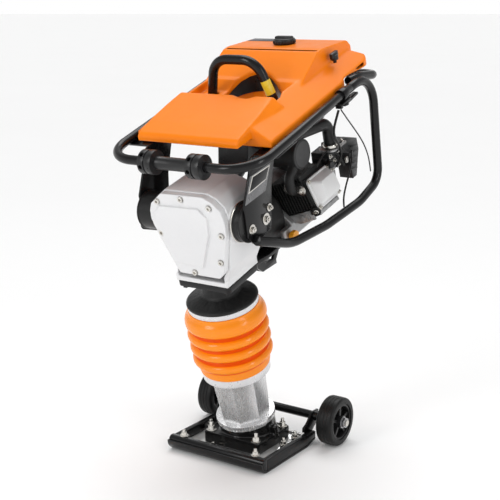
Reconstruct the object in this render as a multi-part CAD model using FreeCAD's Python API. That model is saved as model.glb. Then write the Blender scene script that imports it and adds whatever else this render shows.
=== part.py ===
import FreeCAD
import Part
import math
import os

V = FreeCAD.Vector

# Tamping rammer.  Millimetres, +Z up, front toward -Y, the ground at Z = 0.
# Three frames are used.  The ground frame holds the shoe and its wheels.  The leg
# frame (x, u, s) leans forward with the leg: s runs up the leg, u to the rear.  The
# handle frame (x, v, h) slopes up to the rear with the handle: v runs along the side
# tubes, h stands square on them.

# ---- leaning frames ----
LEG_TILT = 17.0          # degrees, forward lean of the leg
LEG_Y = 45.0             # where the leg's axis meets the ground
HANDLE_TILT = 19.8       # degrees, slope of the handle's side tubes
HANDLE_Y = -258.0        # front bar of the handle
HANDLE_Z = 754.0

# ---- shoe ----
SHOE_X = 142.5           # half width
SHOE_FRONT = -123.0
SHOE_REAR = 128.0
SOLE_T = 6.0
LIP_R = 26.0             # upturned front edge
TRAY_T = 5.0
RIM_TOP = 34.0
RIM_W = 14.5
BLOCK_X = 83.0           # half width of the foot casting's base
BLOCK_TOP = 42.0

# ---- wheels ----
WHEEL_R = 62.5
WHEEL_Y = 150.0
WHEEL_IN = 163.0
WHEEL_OUT = 208.0
RIM_R = 46.0
AXLE_R = 8.0
RUN = 0.05               # radial running clearance

# ---- leg ----
S_FOOT = 84.0            # top of the foot casting
S_COLLAR = 226.0         # top of the eight-sided part
S_BAND = 243.0           # lower end of the bellows
S_CUFF = 414.0           # upper end of the bellows
S_CONE = 428.0           # underside of the black cone
S_PLATE = 487.0          # underside of the crankcase's flange plate
S_CASE = 504.0           # bottom of the crankcase
CYL_R = 52.0             # spring cylinder
CYL_IN = 46.0
CYL_TOP = 400.0
ROD_R = 16.0

# ---- crankcase and gears ----
CASE_FRONT = -67.0
CASE_REAR = 62.0
S_PINION = 560.0
GEAR_TEETH = 31
PINION_TEETH = 11
MODULE = 4.0
GEAR_PITCH = MODULE * GEAR_TEETH / 2
PINION_PITCH = MODULE * PINION_TEETH / 2
S_GEAR = S_PINION + GEAR_PITCH + PINION_PITCH
THROW = 13.0
S_WRIST = 560.0          # wrist pin with the crank pin at the top
S_EYE = S_WRIST - THROW  # middle of the wrist pin's circle
WRIST_R = 7.0
WRIST_EYE = WRIST_R + THROW + 1.0

# ---- engine ----
ENGINE_TILT = 19.5       # degrees, rise of the cylinder toward +X
ENGINE_U = 266.0         # plane of the cylinder's axis
BLOCK_R = 64.0
CYL_BASE = 52.0          # foot of the cylinder, out from the crankshaft

# ---- handle, guards and tank ----
TUBE_R = 11.0
TUBE_IN = 8.5
HANDLE_X = 205.0
CORNER = 80.0
JOIN_V = 440.0           # where a side tube turns down into the guard
MOUNT_U = -25.0          # rubber mounts between the crankcase and the side plates
MOUNT_S = 662.0
MOUNT_IN = 121.0         # their inner faces, right and left
MOUNT_IN_LEFT = 94.0
PLATE_X = 145.0          # side plates
PLATE_T = 5.0
ROLLER_R = 28.0
TANK_WALL = 4.0
TAP_X = 153.5            # fuel tap on the tank's shoulder
TAP_V = 478.0


# ---------------------------------------------------------------- helpers
def tilted(shape, angle, y, z):
    """Places a shape modelled in a leaning frame."""
    out = shape.copy()
    out.rotate(V(0, 0, 0), V(1, 0, 0), angle)
    out.translate(V(0, y, z))
    return out


def leg(shape):
    return tilted(shape, LEG_TILT, LEG_Y, 0)


def handle(shape):
    return tilted(shape, HANDLE_TILT, HANDLE_Y, HANDLE_Z)


def point_of(place, x, y, z):
    p = place(Part.Vertex(x, y, z)).Point
    return V(p.x, p.y, p.z)


def engine(shape):
    """From the engine frame (cylinder axis along x, crank at the origin) to the ground."""
    out = shape.copy()
    out.rotate(V(0, 0, 0), V(0, 1, 0), -ENGINE_TILT)
    out.translate(V(0, 0, S_PINION))
    return leg(out)


def box(x0, x1, y0, y1, z0, z1):
    return Part.makeBox(x1 - x0, y1 - y0, z1 - z0, V(x0, y0, z0))


def rod(r, start, direction, length):
    return Part.makeCylinder(r, length, V(*start), V(*direction))


def pipe(r_out, r_in, start, direction, length):
    return rod(r_out, start, direction, length).cut(rod(r_in, start, direction, length))


def fused(shapes):
    return shapes[0].multiFuse(shapes[1:]).removeSplitter() if len(shapes) > 1 else shapes[0]


def group(shapes):
    return Part.makeCompound(shapes)


def mirrored(shape):
    return shape.mirror(V(0, 0, 0), V(1, 0, 0))


def prism(points, axis, start, length):
    """A polygon in the plane across an axis, pushed along that axis."""
    place = {"x": lambda a, b: V(start, a, b), "y": lambda a, b: V(a, start, b),
             "z": lambda a, b: V(a, b, start)}[axis]
    push = {"x": V(length, 0, 0), "y": V(0, length, 0), "z": V(0, 0, length)}[axis]
    corners = [place(a, b) for a, b in points]
    wire = Part.makePolygon(corners + [corners[0]])
    return Part.Face(wire).extrude(push)


def turned(profile):
    """A closed (r, s) outline turned about the s axis."""
    corners = [V(r, 0, s) for r, s in profile]
    face = Part.Face(Part.makePolygon(corners + [corners[0]]))
    return face.revolve(V(0, 0, 0), V(0, 0, 1), 360)


def hexagon(across, start, direction, length):
    """A hexagonal prism standing on a point along a direction."""
    r = across / math.sqrt(3)
    corners = [V(r * math.cos(math.radians(60 * i)), r * math.sin(math.radians(60 * i)), 0)
               for i in range(6)]
    out = Part.Face(Part.makePolygon(corners + [corners[0]])).extrude(V(0, 0, length))
    out.Placement = FreeCAD.Placement(V(*start), FreeCAD.Rotation(V(0, 0, 1), V(*direction)))
    return out


def bent_path(points, radii):
    """Straight runs joined by tangent arcs, one radius per inner point."""
    pts = [V(*p) for p in points]
    edges = []
    here = pts[0]
    for i in range(1, len(pts) - 1):
        back = (pts[i - 1] - pts[i]).normalize()
        ahead = (pts[i + 1] - pts[i]).normalize()
        half = back.getAngle(ahead) / 2
        cut = radii[i - 1] / math.tan(half)
        a = pts[i] + back * cut
        b = pts[i] + ahead * cut
        centre = pts[i] + (back + ahead).normalize() * (radii[i - 1] / math.sin(half))
        middle = centre + (pts[i] - centre).normalize() * radii[i - 1]
        if (a - here).Length > 1e-4:
            edges.append(Part.LineSegment(here, a).toShape())
        edges.append(Part.Arc(a, middle, b).toShape())
        here = b
    edges.append(Part.LineSegment(here, pts[-1]).toShape())
    return Part.Wire(edges), (pts[1] - pts[0]).normalize()


def swept(points, radii, r_out, r_in=None):
    """A round bar or tube along straight runs and tangent arcs."""
    path, direction = bent_path(points, radii)
    def sweep(r):
        section = Part.Wire([Part.makeCircle(r, V(*points[0]), direction)])
        return path.makePipeShell([section], True, False)
    return sweep(r_out).cut(sweep(r_in)) if r_in else sweep(r_out)


def cord(name, points, r):
    """A cord's tube, each bend as large as its two runs allow."""
    pts = [V(*p) for p in points]
    radii = []
    for a, b, c in zip(pts, pts[1:], pts[2:]):
        turn = math.pi - (a - b).getAngle(c - b)
        radii.append(0.45 * min((a - b).Length, (c - b).Length) / math.tan(turn / 2))
    shape = swept(points, radii, r)
    path, _ = bent_path(points, radii)
    print(name, "radii", [round(x) for x in radii],
          "volume ratio %.4f" % (shape.Volume / (math.pi * r * r * path.Length)))
    return shape


def gear_outline(teeth, r_pitch, phase):
    """Straight-flanked teeth as a closed polygon about the origin, in (x, z)."""
    tip, root = r_pitch + 0.7 * MODULE, r_pitch - 0.95 * MODULE
    step = 2 * math.pi / teeth
    half_pitch = 0.39 * math.pi * MODULE / 2
    flank = math.tan(math.radians(20))
    out = []
    for i in range(teeth):
        mid = phase + i * step
        for side, r in ((-1, root), (-1, tip), (1, tip), (1, root)):
            half = half_pitch - (r - r_pitch) * flank
            a = mid + side * half / r
            out.append((r * math.cos(a), r * math.sin(a)))
    return out


def save(name, shape):
    os.makedirs("parts", exist_ok=True)
    shape.exportStep("parts/%s.step" % name)


# ---------------------------------------------------------------- foot
def sole_plate():
    """Wear plate: flat, curled up at the front, ramped at the rear."""
    y, r, t = SHOE_FRONT + LIP_R, LIP_R, SOLE_T
    d = math.sqrt(0.5)
    def arc(radius):
        return Part.Arc(V(0, y - radius, r), V(0, y - radius * d, r - radius * d),
                        V(0, y, r - radius)).toShape()
    def line(a, b):
        return Part.LineSegment(V(0, *a), V(0, *b)).toShape()
    ramp = (89.0, 0.0), (SHOE_REAR, 10.0)
    edges = [line((y - r, r + 2), (y - r, r)), arc(r), line((y, 0), ramp[0]), line(*ramp),
             line(ramp[1], (SHOE_REAR, 10 + t)), line((SHOE_REAR, 10 + t), (88, t)),
             line((88, t), (y, t)), arc(r - t), line((y - r + t, r), (y - r + t, r + 2)),
             line((y - r + t, r + 2), (y - r, r + 2))]
    face = Part.Face(Part.Wire(Part.__sortEdges__(edges)))
    out = face.extrude(V(2 * SHOE_X, 0, 0))
    out.translate(V(-SHOE_X, 0, 0))
    return out


def shoe_tray():
    """Floor of the shoe, turned up into a lip along the rear ramp."""
    side = [(-97, SOLE_T), (88, SOLE_T), (112, 12), (112, 24), (106, 24), (106, 15.5), (86, SOLE_T + TRAY_T),
            (-97, SOLE_T + TRAY_T)]
    return prism(side, "x", -127.5, 255)


def shoe_rim():
    """Front bar and two side rails, welded round the tray."""
    y, r = SHOE_FRONT + LIP_R, LIP_R - SOLE_T - 0.3
    d = math.sqrt(0.5)
    low = Part.Arc(V(0, y - r, LIP_R), V(0, y - r * d, LIP_R - r * d), V(0, y - 0.5, SOLE_T + 0.3))
    top = Part.Arc(V(0, y - r, 28), V(0, y - 15, RIM_TOP + 1.5), V(0, y - 8, RIM_TOP + 3))
    def line(a, b):
        return Part.LineSegment(V(0, *a), V(0, *b)).toShape()
    edges = [low.toShape(), line((y - r, LIP_R), (y - r, 28)), top.toShape(),
             line((y - 8, RIM_TOP + 3), (y - 0.5, RIM_TOP + 3)),
             line((y - 0.5, RIM_TOP + 3), (y - 0.5, SOLE_T + 0.3))]
    bar = Part.Face(Part.Wire(Part.__sortEdges__(edges))).extrude(V(2 * SHOE_X, 0, 0))
    bar.translate(V(-SHOE_X, 0, 0))
    side = [(y - 0.5, SOLE_T), (88, SOLE_T), (SHOE_REAR, 16.3), (SHOE_REAR, RIM_TOP - 3),
            (SHOE_REAR - 6, RIM_TOP), (y - 0.5, RIM_TOP)]
    rail = prism(side, "x", SHOE_X - RIM_W, RIM_W)
    return group([bar, rail, mirrored(rail)])


def pedestal():
    """Cast foot: a square base and a leaning ring for the leg."""
    floor = SOLE_T + TRAY_T
    base = box(-BLOCK_X, BLOCK_X, -50, 100, floor, BLOCK_TOP)
    base = base.makeFillet(9, [e for e in base.Edges if abs(e.BoundBox.ZLength - 31) < 1])
    ring = leg(rod(72, (0, 0, 20), (0, 0, 1), S_FOOT - 20))
    keep = box(-200, 200, -200, 300, floor, 200)
    rib = leg(box(58, 88, -6, 6, 30, 70)).common(keep)
    shape = fused([base, ring.common(keep), rib, mirrored(rib)])
    shape = shape.cut(prism([(86, 5), (86, floor), (106, 15.5), (106, 5)], "x", -100, 200))
    return shape.cut(leg(rod(54, (0, 0, 48), (0, 0, 1), 60)))


def stud(x, y, z, across=13.0, height=12.0):
    nut = hexagon(across, (x, y, z), (0, 0, 1), height * 0.6)
    washer = rod(across * 0.85, (x, y, z - 2), (0, 0, 1), 2)
    end = rod(across * 0.3, (x, y, z + height * 0.6), (0, 0, 1), height * 0.6)
    return fused([washer, nut, end])


def foot_fasteners():
    """Nuts and studs of the shoe, the foot casting and the axle."""
    out = []
    floor = SOLE_T + TRAY_T
    for side in (-1, 1):
        out.append(stud(side * 112, 22, floor + 16))
        out.append(rod(9, (side * 112, 22, floor), (0, 0, 1), 14))
        out.append(stud(side * 108, -98, RIM_TOP + 5.4))
        out.append(stud(side * 112, 76, floor + 16))
        out.append(rod(9, (side * 112, 76, floor), (0, 0, 1), 14))
        for y in (-36, 86):
            out.append(stud(side * 68, y, BLOCK_TOP + 2, 15, 16))
    out.append(stud(-38, -70, floor + 2))
    for side in (-1, 1):
        axis = (side, 0, 0)
        out.append(rod(15, (side * (WHEEL_OUT + 0.5), WHEEL_Y, WHEEL_R), axis, 2)
                   .cut(rod(AXLE_R + 0.3, (side * WHEEL_OUT, WHEEL_Y, WHEEL_R), axis, 4)))
        out.append(hexagon(24, (side * (WHEEL_OUT + 2.5), WHEEL_Y, WHEEL_R), axis, 8)
                   .cut(rod(AXLE_R + 0.3, (side * WHEEL_OUT, WHEEL_Y, WHEEL_R), axis, 12)))
    return group(out)


def leg_casting():
    """Eight-sided aluminium leg, wider at the top, on a round flange."""
    def ring(r, s):
        pts = [V(r * math.cos(math.radians(22.5 + 45 * i)),
                 r * math.sin(math.radians(22.5 + 45 * i)), s) for i in range(8)]
        return Part.makePolygon(pts + [pts[0]])
    flange = rod(75, (0, 0, S_FOOT), (0, 0, 1), 13)
    facets = Part.makeLoft([ring(64, S_FOOT + 13), ring(72, S_COLLAR)], True, True)
    collar = rod(79.7, (0, 0, S_COLLAR), (0, 0, 1), S_BAND - S_COLLAR - 0.5)
    shape = fused([flange, facets, collar])
    return leg(shape.cut(rod(CYL_R + 0.3, (0, 0, S_FOOT - 1), (0, 0, 1), S_BAND)))


def spring_cylinder():
    return leg(pipe(CYL_R, CYL_IN, (0, 0, S_FOOT + 0.5), (0, 0, 1), CYL_TOP - S_FOOT - 0.5))


def cylinder_cap():
    """Bush in the top of the spring cylinder, bored for the rod."""
    plug = rod(CYL_IN - 0.3, (0, 0, 384), (0, 0, 1), CYL_TOP - 384)
    lip = rod(CYL_R - 0.5, (0, 0, CYL_TOP), (0, 0, 1), 6)
    return leg(fused([plug, lip]).cut(rod(ROD_R + RUN, (0, 0, 380), (0, 0, 1), 40)))


def coil(s0, s1, turns):
    """A helical spring standing on the leg's axis."""
    wire = 4.5
    radius = 36.0
    pitch = (s1 - s0 - 2 * wire) / turns
    helix = Part.makeHelix(pitch, pitch * turns, radius)
    helix.translate(V(0, 0, s0 + wire))
    section = Part.Wire([Part.makeCircle(wire, V(radius, 0, s0 + wire), V(0, 1, 0))])
    return leg(Part.Wire(helix.Edges).makePipeShell([section], True, True))


def lower_band():
    return leg(pipe(85.5, 80, (0, 0, 223), (0, 0, 1), S_BAND - 223))


def upper_band():
    return leg(pipe(86.5, 62, (0, 0, S_CUFF + 0.3), (0, 0, 1), S_CONE - S_CUFF - 0.3))


def bellows():
    """Four rubber convolutions, the upper ones fatter."""
    peaks = (97.0, 99.0, 101.0, 102.0)
    wall = 3.0
    valley = 82.0
    low, high = S_BAND + 4.0, S_CUFF - 4.0
    pitch = (high - low) / len(peaks)
    def side(inset):
        edges = []
        for i, peak in enumerate(peaks):
            a, b = low + i * pitch, low + (i + 1) * pitch
            edges.append(Part.Arc(V(valley - inset, 0, a), V(peak - inset, 0, (a + b) / 2),
                                  V(valley - inset, 0, b)).toShape())
        first = Part.LineSegment(V(valley - inset, 0, S_BAND), V(valley - inset, 0, low))
        last = Part.LineSegment(V(valley - inset, 0, high), V(valley - inset, 0, S_CUFF))
        return [first.toShape()] + edges + [last.toShape()]
    ends = [Part.LineSegment(V(valley, 0, s), V(valley - wall, 0, s)).toShape()
            for s in (S_BAND, S_CUFF)]
    wire = Part.Wire(Part.__sortEdges__(side(0) + side(wall) + ends))
    return leg(Part.Face(wire).revolve(V(0, 0, 0), V(0, 0, 1), 360))


def wheel_bracket():
    """Two arms off the side rails and the cross tube between them."""
    side = [(96, RIM_TOP - 1), (126, 20), (166, 48), (166, 76), (138, 76), (112, 52), (96, 44)]
    arm = prism(side, "x", 121, 6.5)
    tube_x = 121
    cross = rod(11, (-tube_x, WHEEL_Y, WHEEL_R), (1, 0, 0), 2 * tube_x)
    ends = [rod(13, (s * 127.5, WHEEL_Y, WHEEL_R), (s, 0, 0), WHEEL_IN - 128.5) for s in (-1, 1)]
    shape = fused([arm, mirrored(arm), cross] + ends)
    return shape.cut(rod(AXLE_R + 0.3, (-200, WHEEL_Y, WHEEL_R), (1, 0, 0), 400))


def axle():
    length = 2 * (WHEEL_OUT + 14)
    return rod(AXLE_R, (-length / 2, WHEEL_Y, WHEEL_R), (1, 0, 0), length)


def tyre(side):
    """Solid rubber tyre with rounded shoulders."""
    width = WHEEL_OUT - WHEEL_IN
    shape = pipe(WHEEL_R, RIM_R, (WHEEL_IN, WHEEL_Y, WHEEL_R), (1, 0, 0), width)
    outer = [e for e in shape.Edges if hasattr(e.Curve, "Radius") and abs(e.Curve.Radius - WHEEL_R) < 0.1]
    shape = shape.makeFillet(8, outer)
    return shape if side > 0 else mirrored(shape)


def wheel_hub(side):
    """Moulded hub: rim, five spokes and a bored boss."""
    x0, x1 = WHEEL_IN + 3, WHEEL_OUT - 3
    axis = (1, 0, 0)
    def at(x):
        return (x, WHEEL_Y, WHEEL_R)
    rim = pipe(RIM_R, RIM_R - 5, at(x0), axis, x1 - x0)
    boss = rod(16, at(x0 - 2), axis, x1 - x0 + 4)
    web = pipe(RIM_R - 2, 14, at((x0 + x1) / 2 - 2), axis, 4)
    spokes = []
    for i in range(5):
        spoke = box(x0 + 4, x1 - 4, -3.5, 3.5, 12, RIM_R - 3)
        spoke.rotate(V(0, 0, 0), V(1, 0, 0), 72 * i)
        spoke.translate(V(0, WHEEL_Y, WHEEL_R))
        spokes.append(spoke)
    shape = fused([rim, boss, web] + spokes)
    shape = shape.cut(rod(AXLE_R + RUN, at(x0 - 10), axis, 80))
    return shape if side > 0 else mirrored(shape)


# ---------------------------------------------------------------- crankcase
COVER_OUTLINE = [(-80, 713), (-46, 741), (70, 743), (93, 732), (112, 713), (119, 682), (116, 655),
                 (102, 600), (91, 556), (75, 539), (-37, 539), (-48, 562), (-73, 622), (-89, 672), (-88, 694)]
PANEL_OUTLINE = [(-53, 712), (55, 715), (76, 693), (72, 652), (37, 565), (-38, 568), (-66, 634), (-74, 690)]
CASE_OUTLINE = [(-70, S_CASE), (-70, 516), (-55, 548), (-76, 622), (-91, 672), (-90, 696), (-82, 715),
                (-47, 743), (71, 745), (95, 734), (114, 715), (121, 682), (118, 654), (105, 600), (97, 556),
                (78, 520), (78, S_CASE)]
COVER_BOLTS = [(9, 732), (84, 718), (104, 652), (88, 583), (-60, 720), (7, 546), (-66, 640)]


def guide_housing():
    """Black cone over the bellows with the guide tube that runs on the spring cylinder."""
    outside = [(58.5, 300), (58.5, S_CONE - 7), (61.5, S_CONE), (88, S_CONE), (88, S_CONE + 5),
               (82, S_CONE + 9), (50, S_CONE + 19), (45, S_CONE + 24), (43, S_PLATE)]
    inside = [(22, S_PLATE), (22, S_CONE + 8), (CYL_R + RUN, S_CONE + 2), (CYL_R + RUN, 300)]
    return leg(turned(outside + inside))


def flange_plate():
    plate = box(-72, 78, -64, 64, S_PLATE, S_CASE)
    plate = plate.makeFillet(10, [e for e in plate.Edges if e.BoundBox.ZLength > 10])
    return leg(plate.cut(rod(22, (0, 0, S_PLATE - 5), (0, 0, 1), 40)))


def scaled(points, k, centre):
    return [(centre[0] + (x - centre[0]) * k, centre[1] + (z - centre[1]) * k) for x, z in points]


def crankcase():
    """Cast case, open at the front, with seats for the bearings in its rear wall."""
    length = CASE_REAR - CASE_FRONT
    body = prism(CASE_OUTLINE, "y", CASE_FRONT, length)
    slant = [(CASE_REAR, 704), (40, 750), (100, 750), (100, 704)]
    cavity = prism(scaled(CASE_OUTLINE, 0.9, (16, 630)), "y", CASE_FRONT - 1, length - 13)
    cavity = cavity.cut(prism([(u - 11, s - 4) for u, s in slant], "x", -200, 400))
    seats = [rod(32.3, (0, CASE_REAR - 30, S_GEAR), (0, 1, 0), 60),
             rod(21.3, (0, CASE_REAR - 30, S_PINION), (0, 1, 0), 60),
             rod(35, (0, 0, S_CASE - 10), (0, 0, 1), 40)]
    shape = body.cut(prism(slant, "x", -200, 400)).cut(cavity)
    for seat in seats:
        shape = shape.cut(seat)
    within = prism(scaled(CASE_OUTLINE, 0.98, (16, 630)), "y", CASE_FRONT - 1, length + 2)
    keep = box(-MOUNT_IN_LEFT, MOUNT_IN, CASE_FRONT, CASE_REAR, 500, 706)
    pads = [rod(48, (x, MOUNT_U, MOUNT_S), (1, 0, 0), 60).common(keep).cut(within) for x in (-110, 75)]
    return leg(fused([shape] + pads))


def gear_cover():
    flange = prism(COVER_OUTLINE, "y", CASE_FRONT - 18, 18)
    panel = prism(PANEL_OUTLINE, "y", CASE_FRONT - 24, 12)
    boss = pipe(34, 26.3, (0, CASE_FRONT, S_GEAR), (0, 1, 0), 19)
    hollow = prism(scaled(PANEL_OUTLINE, 0.9, (0, 640)), "y", CASE_FRONT - 17, 17)
    bolts = [rod(3.6, (x, CASE_FRONT - 20, s), (0, 1, 0), 30) for x, s in COVER_BOLTS]
    bolts += [rod(7.2, (x, CASE_FRONT - 30, s), (0, 1, 0), 16) for x, s in COVER_BOLTS]
    web = rod(30, (0, CASE_FRONT - 6, S_GEAR), (0, 1, 0), 6)
    shape = fused([flange, panel]).cut(hollow)
    shape = fused([shape, boss, web, pipe(34, 30, (0, CASE_FRONT - 17, S_GEAR), (0, 1, 0), 17)])
    for bolt in bolts:
        shape = shape.cut(bolt)
    return leg(shape)


def casing_fasteners():
    """Socket screws of the gear cover and hex bolts under the flange plate."""
    out = []
    for x, s in COVER_BOLTS:
        head = rod(6.5, (x, CASE_FRONT - 21.5, s), (0, 1, 0), 7.5)
        socket = hexagon(6, (x, CASE_FRONT - 22, s), (0, 1, 0), 5)
        shank = rod(3.3, (x, CASE_FRONT - 14, s), (0, 1, 0), 13.8)
        out.append(leg(fused([head, shank]).cut(socket)))
    for x in (-60, 60):
        for u in (-49, 49):
            out.append(leg(hexagon(14, (x, u, S_PLATE - 9), (0, 0, 1), 9)))
    return group(out)


def crank_bearings():
    rear = pipe(32, 15 + RUN, (0, 47, S_GEAR), (0, 1, 0), 14)
    front = pipe(26, 12.5 + RUN, (0, -61, S_GEAR), (0, 1, 0), 13)
    pinion = pipe(21, 10 + RUN, (0, 47, S_PINION), (0, 1, 0), 14)
    return group([leg(rear), leg(front), leg(pinion)])


def crank_gear():
    """Large gear, offset pin, front web and the two journals, one forging."""
    teeth = prism(gear_outline(GEAR_TEETH, GEAR_PITCH, -math.pi / 2), "y", 28, 15)
    teeth.translate(V(0, 0, S_GEAR))
    rear = rod(15, (0, 43, S_GEAR), (0, 1, 0), 17)
    pin = rod(12, (0, -14, S_GEAR + THROW), (0, 1, 0), 42)
    web = rod(36, (0, -26, S_GEAR), (0, 1, 0), 12)
    front = rod(12.5, (0, -59, S_GEAR), (0, 1, 0), 33)
    return leg(fused([teeth, rear, pin, web, front]))


def clutch_drum():
    """Pinion, its shaft and the clutch bell behind the rear wall."""
    phase = math.pi / 2 + math.pi / PINION_TEETH
    teeth = prism(gear_outline(PINION_TEETH, PINION_PITCH, phase), "y", 27, 17)
    teeth.translate(V(0, 0, S_PINION))
    shaft = rod(10, (0, 44, S_PINION), (0, 1, 0), 24)
    disc = rod(44, (0, 65, S_PINION), (0, 1, 0), 5)
    bell = pipe(44, 40, (0, 70, S_PINION), (0, 1, 0), 32)
    return leg(fused([teeth, shaft, disc, bell]))


def connecting_rod():
    """Big end on the crank pin, shank, and the wrist pin that it carries."""
    s_big = S_GEAR + THROW
    big = rod(21, (0, -12, s_big), (0, 1, 0), 24)
    shank = prism([(-9, S_WRIST), (9, S_WRIST), (12, s_big), (-12, s_big)], "y", -6, 12)
    small = rod(12, (0, -9, S_WRIST), (0, 1, 0), 18)
    wrist = rod(WRIST_R, (0, -22, S_WRIST), (0, 1, 0), 44)
    shape = fused([big, shank, small, wrist])
    return leg(shape.cut(rod(12 + RUN, (0, -30, s_big), (0, 1, 0), 60)))


def ram_rod():
    """Piston, rod and fork.  The fork's eyes are open round the wrist pin's circle."""
    piston = rod(CYL_IN - 0.4, (0, 0, 236), (0, 0, 1), 26)
    shaft = rod(ROD_R, (0, 0, 255), (0, 0, 1), 255)
    base = box(-26, 26, -21, 21, 508, 519)
    cheeks = []
    for u in (-21, 13):
        plate = box(-26, 26, u, u + 8, 515, S_EYE)
        eye = rod(26, (0, u, S_EYE), (0, 1, 0), 8)
        cheeks.append(fused([plate, eye]).cut(rod(WRIST_EYE, (0, u - 1, S_EYE), (0, 1, 0), 10)))
    return leg(fused([piston, shaft, base] + cheeks))


def clutch_housing():
    """Cone from the crankcase's rear wall to the engine."""
    outer = Part.makeCone(62, 84, 130, V(0, CASE_REAR + 0.3, S_PINION), V(0, 1, 0))
    inner = Part.makeCone(48, 74, 132, V(0, CASE_REAR - 0.7, S_PINION), V(0, 1, 0))
    keep = box(-200, 200, 0, 400, S_CASE + 1, 900)
    return leg(outer.cut(inner).common(keep))


# ---------------------------------------------------------------- engine
def engine_rotor():
    """Crankshaft with two webs and an offset pin."""
    u = ENGINE_U
    shaft = rod(12.5, (0, 76, 0), (0, 1, 0), u - 18 - 76)
    tail = rod(12.5, (0, u + 18, 0), (0, 1, 0), 58)
    webs = [rod(36, (0, u - 20, 0), (0, 1, 0), 9), rod(36, (0, u + 11, 0), (0, 1, 0), 9)]
    pin = rod(12, (22, u - 14, 0), (0, 1, 0), 28)
    return engine(fused([shaft, tail] + webs + [pin]))


def centrifugal_clutch():
    """Two shoes on a hub inside the clutch bell."""
    ring = pipe(38.5, 26, (0, 74, 0), (0, 1, 0), 24)
    hub = pipe(18, 12.6, (0, 74, 0), (0, 1, 0), 26)
    arms = box(-30, 30, 80, 92, -7, 7).cut(rod(12.6, (0, 70, 0), (0, 1, 0), 40))
    slot = box(-60, 60, 70, 110, -2, 2).cut(rod(24, (0, 60, 0), (0, 1, 0), 60))
    return engine(fused([ring.cut(slot), hub, arms]))


def engine_block():
    """Crankcase of the engine with its sump and the seat for the cylinder."""
    u0, u1 = 193.0, 322.0
    barrel = rod(BLOCK_R, (0, u0, S_PINION), (0, 1, 0), u1 - u0).common(box(-90, 90, 0, 400, 494, 700))
    sump = prism([(-72, 494), (84, 494), (100, 510), (100, 545), (60, 580), (-60, 590)], "y", u0, u1 - u0)
    lobe = box(84.5, 100, 160, 200, 502, 540)
    lobe = lobe.makeFillet(5, [e for e in lobe.Edges if e.BoundBox.Center.y < 161])
    hollow = rod(BLOCK_R - 10, (0, u0 + 8, S_PINION), (0, 1, 0), u1 - u0 - 16)
    seat = engine(box(30, CYL_BASE, ENGINE_U - 44, ENGINE_U + 44, -44, 44))
    beside = engine(box(CYL_BASE, 220, ENGINE_U - 56, ENGINE_U + 56, -55, 60))
    shape = fused([leg(fused([barrel, sump, lobe])), seat]).cut(beside)
    shape = shape.cut(leg(hollow)).cut(engine(rod(33, (0, ENGINE_U, 0), (1, 0, 0), 120)))
    return shape.cut(leg(rod(13, (0, u0 - 20, S_PINION), (0, 1, 0), 200)))


def engine_cylinder():
    """Finned barrel and head, bored for the piston."""
    u = ENGINE_U
    start, base = CYL_BASE + 0.3, 164.0
    core = rod(41, (start, u, 0), (1, 0, 0), base - start)
    fins = [box(start + 2 + 8.2 * i, start + 4.6 + 8.2 * i, u - 54, u + 54, -32, 52) for i in range(13)]
    head = box(base - 12, base, u - 50, u + 50, -41, 41)
    duct = box(start, base - 12, u - 46, u + 46, -52, -30)
    shape = fused([core] + fins + [head, duct])
    return engine(shape.cut(rod(34, (start - 1, u, 0), (1, 0, 0), 90)))


def valve_cover():
    u = ENGINE_U
    plate = box(164.3, 170, u - 50, u + 50, -39.5, 39.5)
    dome = box(170, 194, u - 45, u + 45, -35, 35)
    dome = dome.makeFillet(11, [e for e in dome.Edges if e.BoundBox.Center.x > 181])
    return engine(fused([plate, dome]))


def muffler():
    """Canister across the engine, its down pipe and the flange on the cylinder."""
    u, s = 240.0, 711.0
    can = rod(37, (-40, u, s), (1, 0, 0), 168)
    cap = rod(35, (128, u, s), (1, 0, 0), 4)
    bend = swept([(116, 222, 690), (116, 190, 668), (116, 190, 632), (116, 208, 632)], [14, 13], 12)
    flange = box(91, 141, 206, 211.7, 614, 650)
    upright = [e for e in flange.Edges if e.BoundBox.YLength > 5 and e.BoundBox.XLength < 1]
    flange = flange.makeFillet(14, upright)
    nuts = [hexagon(12, (x, 206, 632), (0, -1, 0), 7) for x in (97, 135)]
    return leg(fused([can, cap, bend, flange] + nuts))


def carburettor():
    """Body, float bowl, the neck against the cylinder head and the hose's stub."""
    body = box(100, 150, 323, 368, 628, 676)
    bowl = rod(21, (124, 346, 596), (0, 0, 1), 34)
    bowl_cap = rod(23, (124, 346, 624), (0, 0, 1), 5)
    neck = box(102, 142, 320.3, 324, 622, 662)
    deck = rod(19, (146, 344, 674), (0, 0, 1), 6)
    stub = rod(15, (146, 344, 680), (0, 0, 1), 18.5)
    return leg(fused([body, bowl, bowl_cap, neck, deck, stub]))


def air_box():
    """Ribbed box behind the carburettor and the plate that the hose stands on."""
    side = [(228, 776), (283, 770), (295, 742), (289, 674), (270, 668), (245, 735), (216, 750), (172, 753),
            (172, 766), (214, 771)]
    outer = prism(side, "x", 120, 38)
    ribs = [box(158, 160.5, 252, 287, z, z + 5) for z in (692, 706, 720, 734, 748)]
    around = leg(fused([rod(15.6, (146, 344, 660), (0, 0, 1), 90), box(90, 160, 300, 370, 600, 680.5)]))
    return fused([outer] + ribs).cut(around)


def intake_elbow():
    """Rubber hose from the carburettor over the muffler to the air cleaner."""
    points = [(146, 344, 699), (146, 344, 750), (136, 240, 766), (118, 150, 771), (82, 150, 771)]
    return leg(swept(points, [28, 60, 26], 15, 11.5))


def air_cleaner():
    """Upright filter box under the tank with a spigot for the hose."""
    case = box(-14, 72, -77, 3, 733, 804)
    case = case.makeFillet(5, [e for e in case.Edges if e.BoundBox.ZLength > 50])
    lid = box(-17, 75, -80, 6, 792, 797)
    spigot = leg(rod(11, (70, 150, 771), (1, 0, 0), 26))
    inside = box(-10, 68, -73, -1, 737, 800)
    bore = leg(rod(8, (60, 150, 771), (1, 0, 0), 40))
    return fused([case, lid, spigot]).cut(inside).cut(bore)


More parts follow.
